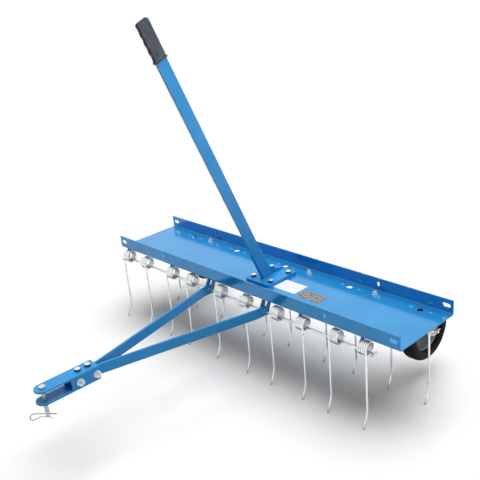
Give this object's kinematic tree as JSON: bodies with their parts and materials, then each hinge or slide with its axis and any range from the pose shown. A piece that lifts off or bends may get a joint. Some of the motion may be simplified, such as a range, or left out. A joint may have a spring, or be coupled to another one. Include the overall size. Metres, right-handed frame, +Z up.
{
  "type": "tow-behind lawn dethatcher",
  "caption": "Tow-behind lawn dethatcher: flanged steel tray on two rows of coil spring tines, hinged drawbar with pin hitch, leaning lift handle and transport wheels.",
  "frame": {"origin": "on the ground under the tine tips, below the middle of the whole machine: midway across the tray, and midway between the tip of the hitch and the back of the wheels", "axes": "+X along the tray to the right wheel as seen from the hitch looking back, -Y forward to the hitch, +Z up"},
  "size_m": [1.016, 0.9236, 0.9171],
  "materials": {
    "blue_paint": "glossy light-blue powder coat",
    "zinc_steel": "bright zinc plate",
    "spring_steel": "zinc-plated spring steel wire",
    "tyre": "matt black rubber",
    "wheel_plastic": "grey moulded plastic",
    "bush_plastic": "natural plastic",
    "grip_plastic": "dark grey moulded grip"
  },
  "bodies": {
    "frame": {"tray": "blue_paint", "front_rod": "zinc_steel", "rear_rod": "zinc_steel", "front_rod_hangers": "blue_paint", "rear_rod_hangers": "blue_paint", "drawbar_hangers": "blue_paint", "drawbar_spacers": "zinc_steel", "rod_hairpins": "zinc_steel", "axle": "zinc_steel", "axle_hangers": "blue_paint", "axle_hanger_bolts": "zinc_steel", "axle_hanger_nuts": "zinc_steel", "axle_washers": "zinc_steel", "axle_cotters": "zinc_steel", "handle_foot": "blue_paint", "handle_gusset": "blue_paint", "handle_bar": "blue_paint", "handle_grip": "grip_plastic", "foot_bolts": "zinc_steel", "foot_nuts": "zinc_steel"},
    "left_wheel": {"left_tyre": "tyre", "left_rim": "wheel_plastic", "left_bush": "bush_plastic"},
    "right_wheel": {"right_tyre": "tyre", "right_rim": "wheel_plastic", "right_bush": "bush_plastic"},
    "drawbar": {"left_drawbar": "blue_paint", "right_drawbar": "blue_paint", "hitch_plate_upper": "blue_paint", "hitch_plate_lower": "blue_paint", "hitch_cheeks": "blue_paint", "plate_bolts": "zinc_steel", "plate_nuts": "zinc_steel", "side_bolts": "zinc_steel", "side_nuts": "zinc_steel", "side_washers": "zinc_steel", "side_spacers": "zinc_steel"},
    "pin": {"hitch_pin": "zinc_steel"},
    "clip": {"hitch_clip": "zinc_steel"},
    "front_tine_01_spring": {"front_tine_01": "spring_steel"},
    "front_tine_02_spring": {"front_tine_02": "spring_steel"},
    "front_tine_03_spring": {"front_tine_03": "spring_steel"},
    "front_tine_04_spring": {"front_tine_04": "spring_steel"},
    "front_tine_05_spring": {"front_tine_05": "spring_steel"},
    "front_tine_06_spring": {"front_tine_06": "spring_steel"},
    "front_tine_07_spring": {"front_tine_07": "spring_steel"},
    "front_tine_08_spring": {"front_tine_08": "spring_steel"},
    "front_tine_09_spring": {"front_tine_09": "spring_steel"},
    "front_tine_10_spring": {"front_tine_10": "spring_steel"},
    "rear_tine_01_spring": {"rear_tine_01": "spring_steel"},
    "rear_tine_02_spring": {"rear_tine_02": "spring_steel"},
    "rear_tine_03_spring": {"rear_tine_03": "spring_steel"},
    "rear_tine_04_spring": {"rear_tine_04": "spring_steel"},
    "rear_tine_05_spring": {"rear_tine_05": "spring_steel"},
    "rear_tine_06_spring": {"rear_tine_06": "spring_steel"},
    "rear_tine_07_spring": {"rear_tine_07": "spring_steel"},
    "rear_tine_08_spring": {"rear_tine_08": "spring_steel"},
    "rear_tine_09_spring": {"rear_tine_09": "spring_steel"},
    "rear_tine_10_spring": {"rear_tine_10": "spring_steel"}
  },
  "joints": [
    {"name": "left_wheel_spin", "type": "hinge", "parent": "frame", "child": "left_wheel", "pos_m": [-0.403, 0.3745, 0.1264], "axis": [1, 0, 0], "continuous": true},
    {"name": "right_wheel_spin", "type": "hinge", "parent": "frame", "child": "right_wheel", "pos_m": [0.403, 0.3745, 0.1264], "axis": [1, 0, 0], "continuous": true},
    {"name": "drawbar_pivot", "type": "hinge", "parent": "frame", "child": "drawbar", "pos_m": [0, 0.1245, 0.18517], "axis": [1, 0, 0], "range_deg": [-60, 12]},
    {"name": "hitch_pin_lift", "type": "slide", "parent": "drawbar", "child": "pin", "axis": [0, 0.0087, 1], "range_m": [0, 0.03]},
    {"name": "hitch_clip_pull", "type": "slide", "parent": "pin", "child": "clip", "axis": [-0.7547, -0.656, 0.0057], "range_m": [0, 0.045]},
    {"name": "front_tine_01_flex", "type": "hinge", "parent": "frame", "child": "front_tine_01_spring", "pos_m": [0, 0.1245, 0.18517], "axis": [1, 0, 0], "range_deg": [0, 25], "stiffness_Nm_per_rad": 13.3, "springref_deg": -2.86},
    {"name": "front_tine_02_flex", "type": "hinge", "parent": "frame", "child": "front_tine_02_spring", "pos_m": [0, 0.1245, 0.18517], "axis": [1, 0, 0], "range_deg": [0, 25], "stiffness_Nm_per_rad": 13.3, "springref_deg": -2.86},
    {"name": "front_tine_03_flex", "type": "hinge", "parent": "frame", "child": "front_tine_03_spring", "pos_m": [0, 0.1245, 0.18517], "axis": [1, 0, 0], "range_deg": [0, 25], "stiffness_Nm_per_rad": 13.3, "springref_deg": -2.86},
    {"name": "front_tine_04_flex", "type": "hinge", "parent": "frame", "child": "front_tine_04_spring", "pos_m": [0, 0.1245, 0.18517], "axis": [1, 0, 0], "range_deg": [0, 25], "stiffness_Nm_per_rad": 13.3, "springref_deg": -2.86},
    {"name": "front_tine_05_flex", "type": "hinge", "parent": "frame", "child": "front_tine_05_spring", "pos_m": [0, 0.1245, 0.18517], "axis": [1, 0, 0], "range_deg": [0, 25], "stiffness_Nm_per_rad": 13.3, "springref_deg": -2.86},
    {"name": "front_tine_06_flex", "type": "hinge", "parent": "frame", "child": "front_tine_06_spring", "pos_m": [0, 0.1245, 0.18517], "axis": [1, 0, 0], "range_deg": [0, 25], "stiffness_Nm_per_rad": 13.3, "springref_deg": -2.86},
    {"name": "front_tine_07_flex", "type": "hinge", "parent": "frame", "child": "front_tine_07_spring", "pos_m": [0, 0.1245, 0.18517], "axis": [1, 0, 0], "range_deg": [0, 25], "stiffness_Nm_per_rad": 13.3, "springref_deg": -2.86},
    {"name": "front_tine_08_flex", "type": "hinge", "parent": "frame", "child": "front_tine_08_spring", "pos_m": [0, 0.1245, 0.18517], "axis": [1, 0, 0], "range_deg": [0, 25], "stiffness_Nm_per_rad": 13.3, "springref_deg": -2.86},
    {"name": "front_tine_09_flex", "type": "hinge", "parent": "frame", "child": "front_tine_09_spring", "pos_m": [0, 0.1245, 0.18517], "axis": [1, 0, 0], "range_deg": [0, 25], "stiffness_Nm_per_rad": 13.3, "springref_deg": -2.86},
    {"name": "front_tine_10_flex", "type": "hinge", "parent": "frame", "child": "front_tine_10_spring", "pos_m": [0, 0.1245, 0.18517], "axis": [1, 0, 0], "range_deg": [0, 25], "stiffness_Nm_per_rad": 13.3, "springref_deg": -2.86},
    {"name": "rear_tine_01_flex", "type": "hinge", "parent": "frame", "child": "rear_tine_01_spring", "pos_m": [0, 0.2915, 0.18517], "axis": [1, 0, 0], "range_deg": [0, 25], "stiffness_Nm_per_rad": 13.3, "springref_deg": -2.86},
    {"name": "rear_tine_02_flex", "type": "hinge", "parent": "frame", "child": "rear_tine_02_spring", "pos_m": [0, 0.2915, 0.18517], "axis": [1, 0, 0], "range_deg": [0, 25], "stiffness_Nm_per_rad": 13.3, "springref_deg": -2.86},
    {"name": "rear_tine_03_flex", "type": "hinge", "parent": "frame", "child": "rear_tine_03_spring", "pos_m": [0, 0.2915, 0.18517], "axis": [1, 0, 0], "range_deg": [0, 25], "stiffness_Nm_per_rad": 13.3, "springref_deg": -2.86},
    {"name": "rear_tine_04_flex", "type": "hinge", "parent": "frame", "child": "rear_tine_04_spring", "pos_m": [0, 0.2915, 0.18517], "axis": [1, 0, 0], "range_deg": [0, 25], "stiffness_Nm_per_rad": 13.3, "springref_deg": -2.86},
    {"name": "rear_tine_05_flex", "type": "hinge", "parent": "frame", "child": "rear_tine_05_spring", "pos_m": [0, 0.2915, 0.18517], "axis": [1, 0, 0], "range_deg": [0, 25], "stiffness_Nm_per_rad": 13.3, "springref_deg": -2.86},
    {"name": "rear_tine_06_flex", "type": "hinge", "parent": "frame", "child": "rear_tine_06_spring", "pos_m": [0, 0.2915, 0.18517], "axis": [1, 0, 0], "range_deg": [0, 25], "stiffness_Nm_per_rad": 13.3, "springref_deg": -2.86},
    {"name": "rear_tine_07_flex", "type": "hinge", "parent": "frame", "child": "rear_tine_07_spring", "pos_m": [0, 0.2915, 0.18517], "axis": [1, 0, 0], "range_deg": [0, 25], "stiffness_Nm_per_rad": 13.3, "springref_deg": -2.86},
    {"name": "rear_tine_08_flex", "type": "hinge", "parent": "frame", "child": "rear_tine_08_spring", "pos_m": [0, 0.2915, 0.18517], "axis": [1, 0, 0], "range_deg": [0, 25], "stiffness_Nm_per_rad": 13.3, "springref_deg": -2.86},
    {"name": "rear_tine_09_flex", "type": "hinge", "parent": "frame", "child": "rear_tine_09_spring", "pos_m": [0, 0.2915, 0.18517], "axis": [1, 0, 0], "range_deg": [0, 25], "stiffness_Nm_per_rad": 13.3, "springref_deg": -2.86},
    {"name": "rear_tine_10_flex", "type": "hinge", "parent": "frame", "child": "rear_tine_10_spring", "pos_m": [0, 0.2915, 0.18517], "axis": [1, 0, 0], "range_deg": [0, 25], "stiffness_Nm_per_rad": 13.3, "springref_deg": -2.86}
  ],
  "couplings": [
    {"joint": "front_tine_02_flex", "follows": "front_tine_01_flex", "ratio": 1},
    {"joint": "front_tine_03_flex", "follows": "front_tine_01_flex", "ratio": 1},
    {"joint": "front_tine_04_flex", "follows": "front_tine_01_flex", "ratio": 1},
    {"joint": "front_tine_05_flex", "follows": "front_tine_01_flex", "ratio": 1},
    {"joint": "front_tine_06_flex", "follows": "front_tine_01_flex", "ratio": 1},
    {"joint": "front_tine_07_flex", "follows": "front_tine_01_flex", "ratio": 1},
    {"joint": "front_tine_08_flex", "follows": "front_tine_01_flex", "ratio": 1},
    {"joint": "front_tine_09_flex", "follows": "front_tine_01_flex", "ratio": 1},
    {"joint": "front_tine_10_flex", "follows": "front_tine_01_flex", "ratio": 1},
    {"joint": "rear_tine_02_flex", "follows": "rear_tine_01_flex", "ratio": 1},
    {"joint": "rear_tine_03_flex", "follows": "rear_tine_01_flex", "ratio": 1},
    {"joint": "rear_tine_04_flex", "follows": "rear_tine_01_flex", "ratio": 1},
    {"joint": "rear_tine_05_flex", "follows": "rear_tine_01_flex", "ratio": 1},
    {"joint": "rear_tine_06_flex", "follows": "rear_tine_01_flex", "ratio": 1},
    {"joint": "rear_tine_07_flex", "follows": "rear_tine_01_flex", "ratio": 1},
    {"joint": "rear_tine_08_flex", "follows": "rear_tine_01_flex", "ratio": 1},
    {"joint": "rear_tine_09_flex", "follows": "rear_tine_01_flex", "ratio": 1},
    {"joint": "rear_tine_10_flex", "follows": "rear_tine_01_flex", "ratio": 1}
  ]
}
